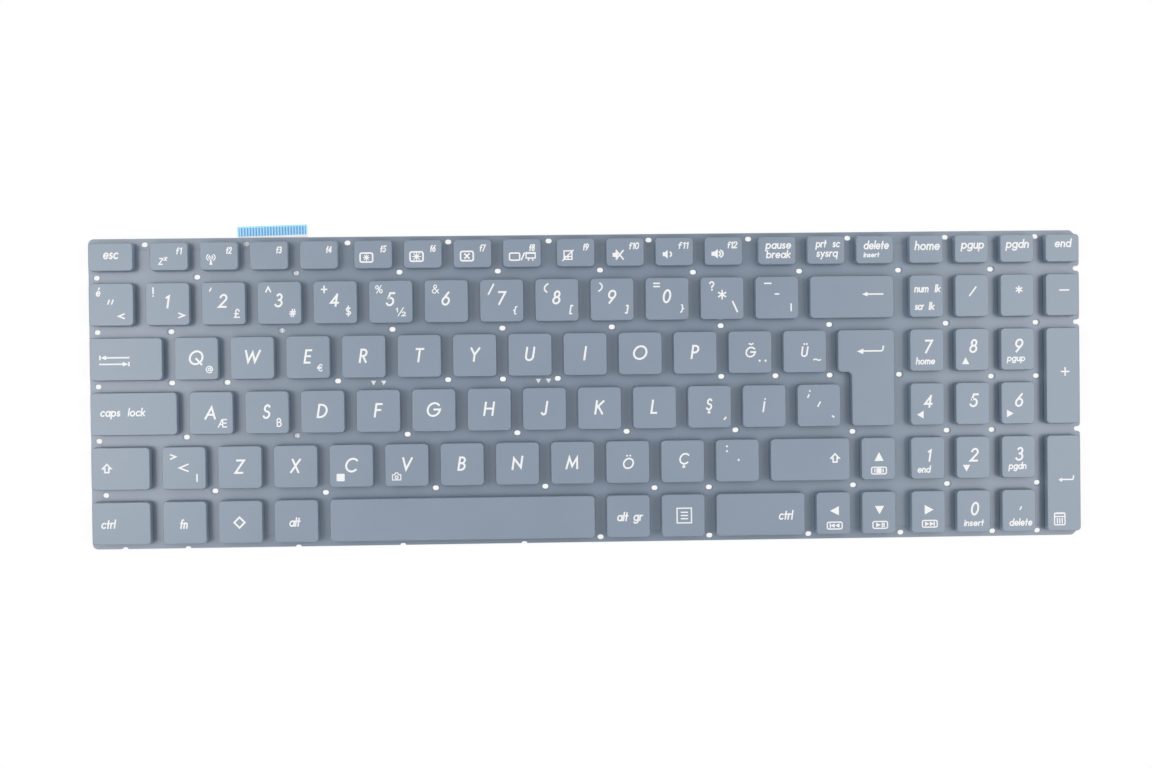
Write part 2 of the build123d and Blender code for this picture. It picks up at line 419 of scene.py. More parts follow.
def press_dome():
    """Silicone dome on the film, drawn up ring by ring from its foot to the crown."""
    bpy.ops.mesh.primitive_circle_add(
        vertices=20, radius=dome_rings[0][0], fill_type="NGON", location=(0, 0, film_top))
    piece = open_piece("dome")
    for (wide, low), (narrow, high) in zip(dome_rings, dome_rings[1:]):
        rise = {"value": (0, 0, high - low)}
        bpy.ops.mesh.extrude_region_move(TRANSFORM_OT_translate=rise)
        bpy.ops.transform.resize(value=(narrow / wide, narrow / wide, 1))
    bpy.ops.mesh.inset(thickness=0.3)
    close_piece()
    piece.data.materials.append(silicone)
    return piece


def mould_frame(half, length, turn):
    """One frame of a scissor, with rounded bars, tilted between film and cap."""
    bpy.ops.mesh.primitive_plane_add(size=1)
    bpy.context.object.scale = (2 * half, length, 1)
    piece = open_piece("frame")
    bpy.ops.mesh.inset(thickness=frame_bar)
    bpy.ops.mesh.delete(type="FACE")
    bpy.ops.mesh.select_all(action="SELECT")
    rise = {"value": (0, 0, frame_thickness)}
    bpy.ops.mesh.extrude_region_move(TRANSFORM_OT_translate=rise)
    pick("EDGE", upright)
    bpy.ops.mesh.bevel(offset=frame_corner, segments=2)
    pick("EDGE", rim)
    bpy.ops.mesh.bevel(offset=frame_edge, segments=1)
    close_piece()
    level = Matrix.Translation((0, 0, -frame_thickness / 2))
    lift = Matrix.Translation((0, 0, film_top + set_height / 2))
    piece.data.transform(lift @ Matrix.Rotation(turn, 4, "X") @ level)
    piece.data.materials.append(frame_plastic)
    return piece


def scissor(length):
    """Crossed frames with the pins that they turn on and the shoes that slide on the film."""
    rise = set_height - 2 * frame_play - frame_thickness
    tilt = math.asin(rise / length)
    inner = frame_half - frame_bar - frame_play
    pieces = [mould_frame(frame_half, length, tilt), mould_frame(inner, length, -tilt)]
    for side in (-1, 1):
        bpy.ops.mesh.primitive_cylinder_add(
            vertices=10, radius=pin_radius, depth=2 * frame_bar, rotation=(0, math.pi / 2, 0),
            location=(side * (frame_half - frame_bar), 0, film_top + set_height / 2))
        pin = open_piece("pin")
        pick("FACE", lambda f: len(f.verts) > 4)
        bpy.ops.mesh.inset(thickness=0.08, depth=0.05)
        close_piece()
        pin.data.materials.append(frame_plastic)
        pieces.append(pin)
        for end in (-1, 1):
            inside = inner if end > 0 else frame_half
            bpy.ops.mesh.primitive_cube_add(
                size=1, scale=(shoe_reach - inside + frame_bar, shoe_length, shoe_height),
                location=(side * (shoe_reach + inside - frame_bar) / 2,
                          end * (length * math.cos(tilt) - shoe_length) / 2, film_top + shoe_level))
            shoe = open_piece("shoe")
            pick("EDGE", lambda e: middle(e).z > film_top + 0.3)
            bpy.ops.mesh.bevel(offset=shoe_edge, segments=1)
            close_piece()
            shoe.data.materials.append(frame_plastic)
            pieces.append(shoe)
    return join(pieces, "scissor")


dome = press_dome()
scissors = {}
side_margin, frame_clearance = 0.9, 3.45


def switch_set(name, left, right, rear, front, shift=0.0):
    """Dome and scissors under one cap, placed by the cap's edges."""
    x, y = (left + right) / 2 + shift, (rear + front) / 2
    length = min(longest_frame, rear - front - frame_margin)
    if length not in scissors:
        scissors[length] = scissor(length)
    half = (right - left) / 2 - side_margin
    spread = frame_half + frame_clearance
    places = (0,)
    if half > spread + frame_half:
        spread = max(spread, half / 2)
        places = (-spread, spread)
    pieces = [copy_to(dome, "dome", x, y)]
    pieces += [copy_to(scissors[length], "scissor", x + place, y) for place in places]
    return join(pieces, "switch_" + name)


# Key caps: low hollow caps of matt slate grey plastic, moulded with drafted sides, round corners and
# a soft top edge. The enter cap is stepped over two rows. Every size is shaped once and copied.
cap_grey = satin_slate(
    "cap_plastic", (0.232, 0.290, 0.373), (0.274, 0.338, 0.425), 0.33, 0.8, 0.00016, 0.000010)
cap_bottom, cap_top, cap_wall, cap_corner = 3.05, 5.23, 0.9, 1.5
cap_lean, cap_edge, top_ring = 0.2, 0.2, 0.08
step_width, step_depth = 4.75, 14.87
caps = {}


def mould_cap(width, depth, stepped):
    """Cap with its rear left corner at the origin."""
    left = step_width if stepped else 0.0
    bpy.ops.mesh.primitive_plane_add(size=1, location=((left + width) / 2, -depth / 2, cap_bottom))
    bpy.context.object.scale = (width - left, depth, 1)
    piece = open_piece("cap")
    if stepped:
        bpy.ops.mesh.bisect(plane_co=(0, -step_depth, 0), plane_no=(0, 1, 0), threshold=0.0001)
        pick("EDGE", lambda e: e.is_boundary and middle(e).x < left + 0.1 and middle(e).y > -step_depth)
        bpy.ops.mesh.extrude_edges_move(TRANSFORM_OT_translate={"value": (-left, 0, 0)})
        pick("EDGE", lambda e: not e.is_boundary)
        bpy.ops.mesh.dissolve_edges(use_verts=False)
        pick("VERT", lambda v: v.co.x > width - 0.1 and abs(v.co.y + step_depth) < 0.1
             or abs(v.co.x - left) < 0.1 and v.co.y > -0.1)
        bpy.ops.mesh.dissolve_verts()
    bpy.ops.mesh.select_mode(type="VERT")
    bpy.ops.mesh.select_all(action="SELECT")
    bpy.ops.mesh.bevel(offset=cap_corner, segments=6, affect="VERTICES")
    bpy.ops.mesh.select_mode(type="FACE")
    bpy.ops.mesh.select_all(action="SELECT")
    bpy.ops.mesh.inset(thickness=cap_lean, depth=cap_top - cap_bottom)
    pick("EDGE", lambda e: min(v.co.z for v in e.verts) > cap_top - 0.01)
    bpy.ops.mesh.bevel(offset=cap_edge, segments=3)
    pick("FACE", lambda f: len(f.verts) > 8)
    bpy.ops.mesh.inset(thickness=top_ring)
    pick("EDGE", lambda e: e.is_boundary)
    bpy.ops.mesh.edge_face_add()
    bpy.ops.mesh.select_mode(type="FACE")
    bpy.ops.mesh.inset(thickness=cap_wall)
    rise = {"value": (0, 0, cap_ceiling - cap_bottom)}
    bpy.ops.mesh.extrude_region_move(TRANSFORM_OT_translate=rise)
    close_piece()
    piece.data.materials.append(cap_grey)
    return piece


# Lettering: pad-printed white ink on the caps, in an upright or leaning line alphabet of round and
# straight strokes of even weight. Points of a stroke are "across up", an arc is "~" with its centre,
# its two radii and its start and end in degrees, and a filled outline opens with "*".
ink_white, shade = new_finish("white_ink")
speckle = shade.noise(2500.0, 2.0)
surface(shade, {
    "Base Color": shade.blend(speckle, (0.94, 0.95, 0.96, 1), (0.98, 0.98, 0.98, 1)),
    "Roughness": 0.36 + 0.12 * speckle,
})
ink_depth, ink_lean, letter_gap, arc_step = 0.03, 0.15, 0.24, 18
finest_line, line_growth, full_height, sign_line = 0.16, 0.105, 5.0, 0.5
layer_step, layer_count = 0.0012, 8
round_box = ("~.86 .18 .14 .18 -90 0, ~.86 .82 .14 .18 0 90, ~.14 .82 .14 .18 90 180, "
             "~.14 .18 .14 .18 180 270, .86 0")
speaker = "*0 .3, .2 .3, .46 .04, .46 .96, .2 .7, 0 .7"
bent_arrow = "1 1, .98 .55, ~.9 .55 .08 .25 0 -90, .2 .3; *0 .3, .24 .64, .24 -.04"
# Each drawing is its width at a height of 1 and its strokes
drawings = {
    "A": (0.76, "0 0, .38 .9, .76 0; .13 .3, .63 .3"),
    "B": (0.47, "0 .53, .2 .53, ~.2 .765 .22 .235 -90 90, 0 1, 0 .53; "
                "0 .53, .2 .53, ~.2 .265 .27 .265 90 -90, 0 0, 0 .53"),
    "C": (0.8, "~.49 .5 .49 .52 48 312"),
    "D": (0.66, "0 0, 0 1, .18 1, ~.18 .5 .48 .5 90 -90, 0 0"),
    "E": (0.4, ".4 1, 0 1, 0 0, .4 0; 0 .52, .36 .52"),
    "F": (0.42, ".42 1, 0 1, 0 0; 0 .52, .37 .52"),
    "G": (0.98, "~.5 .5 .5 .52 44 360, .54 .5"),
    "H": (0.66, "0 0, 0 1; .66 0, .66 1; 0 .52, .66 .52"),
    "I": (0.0, "0 0, 0 1"),
    "J": (0.32, "~.16 .16 .16 .18 200 360, .32 1"),
    "K": (0.56, "0 0, 0 1; .53 1, .03 .46; .16 .6, .56 0"),
    "L": (0.4, "0 1, 0 0, .4 0"),
    "M": (0.88, "0 0, .13 .86, .44 .17, .75 .86, .88 0"),
    "N": (0.66, "0 0, 0 .87, .66 .13, .66 1"),
    "O": (1.02, "~.51 .5 .51 .52 0 360"),
    "P": (0.46, "0 0, 0 1; 0 1, .2 1, ~.2 .73 .26 .27 90 -90, 0 .46"),
    "Q": (1.02, "~.51 .5 .51 .52 0 360; .54 .4, 1 -.03"),
    "R": (0.48, "0 0, 0 1; 0 1, .2 1, ~.2 .74 .25 .26 90 -90, 0 .48; .2 .48, .48 0"),
    "S": (0.44, "~.22 .765 .19 .25 35 270, ~.22 .25 .23 .265 90 -150"),
    "T": (0.54, "0 1, .54 1; .27 1, .27 0"),
    "U": (0.58, "0 1, 0 .28, ~.29 .28 .29 .29 180 360, .58 1"),
    "V": (0.7, "0 1, .35 .1, .7 1"),
    "W": (1.12, "0 1, .29 .13, .56 .87, .83 .13, 1.12 1"),
    "X": (0.58, "0 0, .58 1; 0 1, .58 0"),
    "Y": (0.64, "0 1, .32 .48, .64 1; .32 .48, .32 0"),
    "Z": (0.56, "0 1, .56 1, 0 0, .56 0"),
    "a": (0.56, "~.28 .3 .28 .31 0 360; .56 .6, .56 0"),
    "b": (0.56, "0 1, 0 0; ~.28 .3 .28 .31 0 360"),
    "c": (0.46, "~.28 .3 .28 .31 50 310"),
    "d": (0.56, "~.28 .3 .28 .31 0 360; .56 1, .56 0"),
    "e": (0.55, ".03 .3, .53 .3; ~.28 .3 .27 .31 0 315"),
    "f": (0.34, ".34 .97, ~.26 .8 .14 .2 70 180, .12 0; 0 .58, .3 .58"),
    "g": (0.56, "~.28 .3 .28 .31 0 360; .56 .6, .56 -.12, ~.29 -.12 .27 .22 0 -150"),
    "h": (0.44, "0 1, 0 0; 0 .32, ~.22 .37 .22 .24 180 0, .44 0"),
    "i": (0.0, "0 .58, 0 0; 0 .88, 0 .9"),
    "k": (0.42, "0 1, 0 0; .4 .58, .03 .24; .14 .34, .42 0"),
    "l": (0.0, "0 1, 0 0"),
    "m": (0.76, "0 .6, 0 0; 0 .36, ~.19 .4 .19 .21 180 0, .38 0; .38 .36, ~.57 .4 .19 .21 180 0, .76 0"),
    "n": (0.44, "0 .6, 0 0; 0 .32, ~.22 .37 .22 .24 180 0, .44 0"),
    "o": (0.58, "~.29 .3 .29 .31 0 360"),
    "p": (0.56, "0 .6, 0 -.34; ~.28 .3 .28 .31 0 360"),
    "q": (0.56, "~.28 .3 .28 .31 0 360; .56 .6, .56 -.34"),
    "r": (0.26, "0 .6, 0 0; 0 .3, ~.22 .36 .22 .25 180 75"),
    "s": (0.34, "~.17 .455 .14 .155 40 270, ~.17 .15 .17 .15 90 -145"),
    "t": (0.26, ".12 .92, .12 0; 0 .58, .26 .58"),
    "u": (0.44, "0 .6, 0 .23, ~.22 .23 .22 .24 180 360, .44 .6; .44 .3, .44 0"),
    "y": (0.46, "0 .6, .24 .04; .46 .6, .1 -.34"),
    "z": (0.42, "0 .58, .42 .58, 0 0, .42 0"),
    " ": (0.1, ""),
    "0": (0.54, "~.27 .5 .27 .51 0 360"),
    "1": (0.18, "0 .82, .18 .94, .18 0"),
    "2": (0.56, "~.27 .73 .25 .28 165 -32, 0 0, .56 0"),
    "3": (0.52, "~.24 .765 .2 .245 145 -90; ~.24 .26 .27 .27 90 -150"),
    "4": (0.58, ".42 0, .42 .94; .42 .9, 0 .25, .58 .25"),
    "5": (0.54, ".52 1, .18 1, .08 .56, ~.25 .3 .28 .31 125 -150"),
    "6": (0.56, ".42 1, .05 .46; ~.28 .3 .27 .31 0 360"),
    "7": (0.54, "0 1, .54 1, .15 0"),
    "8": (0.54, "~.27 .765 .2 .245 0 360; ~.27 .26 .26 .27 0 360"),
    "9": (0.56, "~.28 .7 .27 .31 0 360; .14 0, .51 .54"),
    '"': (1.0, "0 0, .26 1; .7 0, .96 1"),
    "'": (0.4, "0 0, .4 1"),
    "<": (1.0, "1 1, 0 .5, 1 0"),
    ">": (1.0, "0 1, 1 .5, 0 0"),
    "!": (0.0, "0 1, 0 .34; 0 .03, 0 0"),
    "?": (0.55, "~.25 .75 .24 .26 165 -55, .26 .42, .26 .28; .26 .03, .26 0"),
    "^": (1.0, "0 0, .5 1, 1 0"),
    "+": (1.0, "0 .5, 1 .5; .5 0, .5 1"),
    "-": (1.0, "0 0, 1 0"),
    "=": (1.0, "0 1, 1 1; 0 0, 1 0"),
    "*": (0.9, ".45 0, .45 1; .02 .25, .88 .75; .02 .75, .88 .25"),
    "/": (0.6, "0 0, .6 1"),
    "\\": (0.45, "0 1, .45 0"),
    "|": (0.0, "0 0, 0 1"),
    "(": (0.2, "~.9 .5 .9 .63 128 232"),
    ")": (0.2, "~-.7 .5 .9 .63 52 -52"),
    "[": (0.2, ".2 1, 0 1, 0 0, .2 0"),
    "]": (0.2, "0 1, .2 1, .2 0, 0 0"),
    "{": (0.34, ".34 1, ~.3 .88 .12 .12 90 180, .18 .62, 0 .5, .18 .38, ~.3 .12 .12 .12 180 270, .34 0"),
    "}": (0.34, "0 1, ~.04 .88 .12 .12 90 0, .16 .62, .34 .5, .16 .38, ~.04 .12 .12 .12 0 -90, 0 0"),
    "#": (0.8, ".2 0, .38 1; .5 0, .68 1; .06 .66, .8 .66; 0 .34, .74 .34"),
    "%": (0.9, "~.19 .76 .18 .22 0 360; ~.71 .24 .18 .22 0 360; .14 0, .76 1"),
    "&": (0.8, ".78 0, .22 .66, ~.37 .8 .17 .19 205 -40; "
               ".5 .68, .14 .42, ~.27 .22 .27 .23 125 295, .76 .44"),
    "$": (0.5, "~.25 .67 .21 .2 35 270, ~.25 .28 .24 .19 90 -150; .25 -.06, .25 1.04"),
    "@": (1.0, "~.5 .5 .2 .22 0 360; .72 .7, .7 .4, ~.85 .44 .15 .14 200 360, ~.5 .48 .5 .52 0 312"),
    "£": (0.6, ".58 .8, ~.38 .76 .2 .25 25 180, .18 .22, 0 0, .6 0; .03 .46, .46 .46"),
    "€": (0.8, "~.5 .5 .34 .51 52 308; 0 .6, .62 .6; 0 .41, .58 .41"),
    "½": (1.0, "0 .82, .13 .94, .13 .5; .2 0, .78 1; ~.8 .34 .17 .14 165 -30, .62 0, 1 0"),
    "Æ": (1.1, "0 0, .5 1, 1.1 1; .58 1, .58 0, 1.08 0; .18 .34, .58 .34; .58 .52, 1.02 .52"),
    "ß": (0.55, "0 0, 0 .74, ~.22 .76 .22 .25 180 -90; ~.24 .26 .28 .27 95 -115"),
    "~": (1.0, "~.25 .5 .25 .5 180 0, ~.75 .5 .25 .5 180 360"),
    "breve": (1.0, "0 1, .5 .1, 1 1"),
    "cedilla": (0.6, ".3 1, .28 .72, ~.28 .36 .3 .36 80 -140"),
    "dot": (1.0, "*~.5 .5 .5 .5 0 345"),
    "up": (1.0, "*0 0, 1 0, .5 1"),
    "down": (1.0, "*.5 0, 1 1, 0 1"),
    "left": (1.0, "*0 .5, 1 0, 1 1"),
    "right": (1.0, "*0 0, 1 .5, 0 1"),
    "square": (1.0, "*.06 0, .94 0, 1 .06, 1 .94, .94 1, .06 1, 0 .94, 0 .06"),
    "diamond": (1.0, ".5 1, 0 .5, .5 0, 1 .5, .5 1"),
    "shift": (1.0, ".5 1, 0 .48, .26 .48, .26 0, .74 0, .74 .48, 1 .48, .5 1"),
    "tab_back": (7.0, "0 0, 0 1; 1 .5, 7 .5; *.3 .5, 1.6 0, 1.6 1"),
    "tab_on": (7.0, "7 0, 7 1; 0 .5, 6 .5; *6.7 .5, 5.4 1, 5.4 0"),
    "back": (5.0, ".8 .5, 5 .5; *0 .5, 1.3 0, 1.3 1"),
    "bent": (1.0, bent_arrow),
    "menu": (1.0, "0 0, 1 0, 1 1, 0 1, 0 0; .3 .72, .72 .72; .3 .5, .72 .5; .3 .28, .72 .28"),
    "aerial": (1.0, "*.5 .62, .36 0, .64 0; *~.5 .66 .07 .07 0 345; ~.5 .66 .2 .19 -52 52; "
                    "~.5 .66 .2 .19 128 232; ~.5 .66 .42 .36 -50 50; ~.5 .66 .42 .36 130 230"),
    "sun": (1.0, "*~.5 .5 .22 .22 0 345; .5 0, .5 1; 0 .5, 1 .5; .15 .15, .85 .85; .15 .85, .85 .15"),
    "screen_off": (1.0, round_box + "; .34 .28, .66 .72; .34 .72, .66 .28"),
    "screen": (1.0, round_box),
    "projector": (1.0, ".02 .28, .98 .28, .98 .98, .02 .98, .02 .28; .02 .9, .98 .9; "
                       ".26 0, .36 .28; .74 0, .64 .28"),
    "pad_off": (1.0, ".12 .1, .88 .1, .88 .94, .12 .94, .12 .1; .12 .38, .88 .38; .5 .1, .5 .38; 0 0, 1 1"),
    "mute": (1.0, speaker + "; .3 .0, 1 1; .3 1, 1 0"),
    "quiet": (1.0, speaker + "; ~.56 .5 .3 .32 -50 50"),
    "loud": (1.0, speaker + "; ~.46 .5 .2 .26 -55 55; ~.46 .5 .42 .46 -55 55"),
    "stop": (1.0, round_box + "; *.34 .2, .66 .2, .66 .8, .34 .8; .22 .3, .22 .7; .78 .3, .78 .7"),
    "previous": (1.0, round_box + "; .2 .26, .2 .74; *.24 .5, .5 .22, .5 .78; *.52 .5, .8 .22, .8 .78"),
    "play": (1.0, round_box + "; *.24 .22, .54 .5, .24 .78; .64 .26, .64 .74; .76 .26, .76 .74"),
    "next": (1.0, round_box + "; .8 .26, .8 .74; *.76 .5, .5 .78, .5 .22; *.48 .5, .2 .78, .2 .22"),
    "camera": (1.0, "0 0, 1 0, 1 .72, .72 .72, .64 .98, .36 .98, .28 .72, 0 .72, 0 0; "
                    "~.5 .36 .17 .2 0 360"),
    "sums": (1.0, "~.9 .08 .1 .08 -90 0, ~.9 .92 .1 .08 0 90, ~.1 .92 .1 .08 90 180, "
                  "~.1 .08 .1 .08 180 270, .9 0; .16 .96, .84 .96; .04 .7, .96 .7; "
                  ".27 .52, .27 .16; .5 .52, .5 .16; .73 .52, .73 .16"),
}
# Drawings with finer lines than their height asks for, by the weight of the line
line_weights = {0.32: ("sun",), 0.34: ("@", "½", "€", "%", "&", "aerial", "camera"),
                0.43: ("menu", "stop", "previous", "play", "next", "sums", "projector", "pad_off",
                       "{", "}", "£", "$", "#", "~", "Æ", "ß")}
drawing_weight = {name: weight for weight, names in line_weights.items() for name in names}


def trace(item):
    """Points of one stroke item: a single point, or an arc in short steps."""
    if not item.startswith("~"):
        return [tuple(map(float, item.split()))]
    x, y, across, up, start, end = map(float, item[1:].split())
    steps = max(2, round(abs(end - start) / arc_step))
    turns = [math.radians(start + (end - start) * step / steps) for step in range(steps + 1)]
    return [(x + across * math.cos(t), y + up * math.sin(t)) for t in turns]


def ribbon(points, weight):
    """Both sides of a stroke of even weight, with mitred corners and square ends."""
    points = [p for i, p in enumerate(points) if not i or math.dist(p, points[i - 1]) > 0.01]
    closed = len(points) > 3 and math.dist(points[0], points[-1]) < 0.02
    if closed:
        points = points[:-1]
    count = len(points)
    runs = []
    for i in range(count if closed else count - 1):
        start, end = points[i], points[(i + 1) % count]
        length = math.dist(start, end)
        runs.append(((end[0] - start[0]) / length, (end[1] - start[1]) / length))
    sides = []
    for i, (x, y) in enumerate(points):
        before = runs[i - 1] if closed or i else runs[0]
        ahead = runs[i] if i < len(runs) else runs[-1]
        if not closed and i in (0, count - 1):
            sign = -0.5 * weight if i == 0 else 0.5 * weight
            x, y = x + sign * ahead[0], y + sign * ahead[1]
        across, up = -(before[1] + ahead[1]), before[0] + ahead[0]
        size = math.hypot(across, up) or 1.0
        across, up = across / size, up / size
        reach = 0.5 * weight / max(0.3, up * ahead[0] - across * ahead[1])
        sides.append(((x + across * reach, y + up * reach), (x - across * reach, y - up * reach)))
    return sides, closed


def print_legends(name, legends, lift):
    """Ink for one cap from (text, middle, top, foot) and a width where the text has its own.

    Strokes that cross lie one over the other, a micrometre apart.
    """
    corners, faces = [], []
    layers = 0
    for text, centre, top, foot, *rest in legends:
        whole = text in drawings
        glyphs = [drawings[text]] if whole else [drawings[letter] for letter in text]
        lettering = text.isalnum() and text.isascii() and (not whole or len(text) == 1)
        weight = finest_line + line_growth * min(foot - top, full_height)
        if not lettering:
            weight = drawing_weight.get(text, max(weight, sign_line))
        lean = ink_lean if lettering or text in "()[]{}" else 0.0
        height = max(foot - top - weight, 0.0)
        natural = sum(width for width, strokes in glyphs) + letter_gap * (len(glyphs) - 1)
        extent = (rest[0] - weight - lean * height) if rest else natural * height
        stretch = extent / natural if natural else height
        left = centre - extent / 2
        for width, strokes in glyphs:
            for stroke in filter(None, strokes.split(";")):
                filled = stroke.strip().startswith("*")
                grow = weight / 2 if filled else 0.0
                points = []
                for item in stroke.strip(" *").split(","):
                    points += trace(item.strip())
                placed = []
                for u, v in points:
                    x = left + u * stretch + grow * (2 * u / natural - 1 if natural else 0)
                    y = v * height + grow * (2 * v - 1)
                    placed.append((x + lean * (y - height / 2), y - foot + weight / 2))
                first = len(corners)
                layers += 1
                level = lift - ink_depth - layer_step * (layers % layer_count)
                if filled:
                    corners += [(x, y, level) for x, y in placed]
                    faces.append(range(first, len(corners)))
                    continue
                sides, closed = ribbon(placed, weight)
                count = len(sides)
                corners += [(x, y, level) for pair in sides for x, y in pair]
                for i in range(count if closed else count - 1):
                    here, there = first + 2 * i, first + 2 * ((i + 1) % count)
                    faces.append((here + 1, there + 1, there, here))
            left += (width + letter_gap) * stretch
    mesh = bpy.data.meshes.new(name)
    mesh.from_pydata(corners, [], faces)
    ink = bpy.data.objects.new(name, mesh)
    bpy.context.scene.collection.objects.link(ink)
    make_active([ink])
    bpy.ops.object.mode_set(mode="EDIT")
    bpy.ops.mesh.select_all(action="SELECT")
    bpy.ops.mesh.extrude_region_move(TRANSFORM_OT_translate={"value": (0, 0, ink_depth)})
    close_piece()
    mesh.materials.append(ink_white)
    return ink


def key_cap(name, left, right, rear, front, legends=()):
    """Cap of one key at its place, with its lettering."""
    size = (round(right - left, 2), round(rear - front, 2))
    if size not in caps:
        caps[size] = mould_cap(*size, name == "enter")
    pieces = [copy_to(caps[size], "cap", left, rear)]
    if legends:
        ink = print_legends("ink", legends, cap_top + 0.6 * ink_depth)
        ink.data.transform(Matrix.Translation((left, rear, 0)))
        pieces.append(ink)
    return join(pieces, "cap_" + name)


# Keys that travel: the letter rows, the front row and the arrows. Each cap rides on its own key, and
# the dome and frames under it stay on the film.
letter_middle, letter_top, letter_foot = 7.55, 4.72, 9.62
legends = {letter: [(letter.upper(), letter_middle, letter_top, letter_foot)]
           for letter in "qwertyuiopasdfghjklzxcvbnm"}
legends["q"].append(("@", 12.0, 9.95, 12.45))
legends["e"].append(("€", 11.65, 9.82, 12.35))
legends["a"].append(("Æ", 11.4, 9.5, 12.45))
legends["s"].append(("ß", 11.75, 9.4, 12.45))
legends["c"].append(("square", 3.9, 10.1, 12.65, 2.75))
legends["v"].append(("camera", 4.05, 9.85, 12.65, 3.2))
legends.update({
    "g_breve": [("G", 7.75, 5.6, 9.25), ("breve", 7.95, 4.3, 5.1, 1.7),
                ("dot", 10.83, 10.07, 10.82), ("dot", 12.88, 10.07, 10.82)],
    "u_umlaut": [("U", 7.5, 5.7, 9.32), ("dot", 7.4, 4.55, 5.2), ("dot", 8.3, 4.55, 5.2),
                 ("~", 11.82, 9.95, 10.72, 2.75)],
    "s_cedilla": [("S", 7.5, 4.58, 8.6), ("cedilla", 7.35, 8.5, 9.8, 1.1), ("'", 12.88, 10.95, 12.1, 1.1)],
    "i_dotted": [("I", 7.4, 5.75, 9.5), ("dot", 7.85, 4.65, 5.25)],
    "comma": [("dot", 4.4, 2.08, 2.72), ("'", 3.9, 3.45, 4.82, 0.9), ("'", 7.58, 6.05, 7.95, 1.25),
              ("\\", 12.4, 10.9, 11.75, 0.95)],
    "o_umlaut": [("O", 7.8, 6.0, 9.8), ("dot", 7.35, 4.9, 5.55), ("dot", 8.45, 4.9, 5.55)],
    "c_cedilla": [("C", 8.0, 4.6, 8.5), ("cedilla", 7.9, 8.4, 9.75, 1.15)],
    "period": [("dot", 3.95, 2.1, 2.8), ("dot", 3.95, 3.78, 4.48), ("dot", 7.95, 6.82, 7.58)],
    "less": [(">", 4.0, 2.55, 4.5, 2.2), ("<", 7.5, 5.9, 8.75, 3.45), ("|", 12.0, 9.45, 12.2)],
    "tab": [("tab_back", 8.6, 6.08, 7.65, 10.3), ("tab_on", 8.6, 8.3, 9.87, 10.3)],
    "caps_lock": [("caps", 7.0, 5.3, 8.25, 7.2), ("lock", 15.9, 5.3, 8.25, 6.2)],
    "enter": [("bent", 11.4, 5.7, 8.45, 9.5)],
    "left_shift": [("shift", 5.45, 5.55, 8.85, 3.3)],
    "right_shift": [("shift", 22.45, 5.3, 8.65, 3.3)],
    "left_ctrl": [("ctrl", 5.75, 5.95, 9.1, 5.2)],
    "fn": [("fn", 7.35, 6.15, 9.5, 3.1)],
    "system": [("diamond", 7.2, 5.5, 9.7, 4.2)],
    "left_alt": [("alt", 7.1, 6.05, 9.3, 4.1)],
    "alt_gr": [("alt", 5.65, 5.85, 9.1, 4.2), ("gr", 11.0, 5.85, 9.1, 3.6)],
    "menu": [("menu", 7.9, 4.7, 10.2, 5.4)],
    "right_ctrl": [("ctrl", 24.2, 6.1, 9.4, 5.3)],
    "left": [("left", 6.35, 4.95, 8.2, 3.1), ("previous", 6.4, 10.3, 13.1, 5.6)],
    "down": [("down", 6.2, 5.1, 8.0, 3.25), ("play", 6.4, 10.3, 13.1, 5.5)],
    "up": [("up", 6.2, 5.15, 8.25, 3.2), ("stop", 6.15, 10.2, 12.95, 5.6)],
    "right": [("right", 6.25, 5.0, 8.35, 3.1), ("next", 6.45, 10.2, 12.95, 5.6)],
})
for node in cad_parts:
    if not node.startswith("key_"):
        continue
    key = node[4:]
    low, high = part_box(node)
    left, right, rear, front = 1000 * low.x, 1000 * high.x, 1000 * high.y, 1000 * low.y
    cap = key_cap(key, left, right, rear, front, legends.get(key, ()))
    settle(cap, node, "cap_plastic", node)
    shift = step_width / 2 if key == "enter" else 0.0
    spring = switch_set(key, left, right, rear, front, shift)
    settle(spring, "base", "link_plastic", "rubber_domes", "scissor_links")
    foot = ((left + right) / 2000, (rear + front) / 2000, film_top / 1000)
    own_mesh(spring)


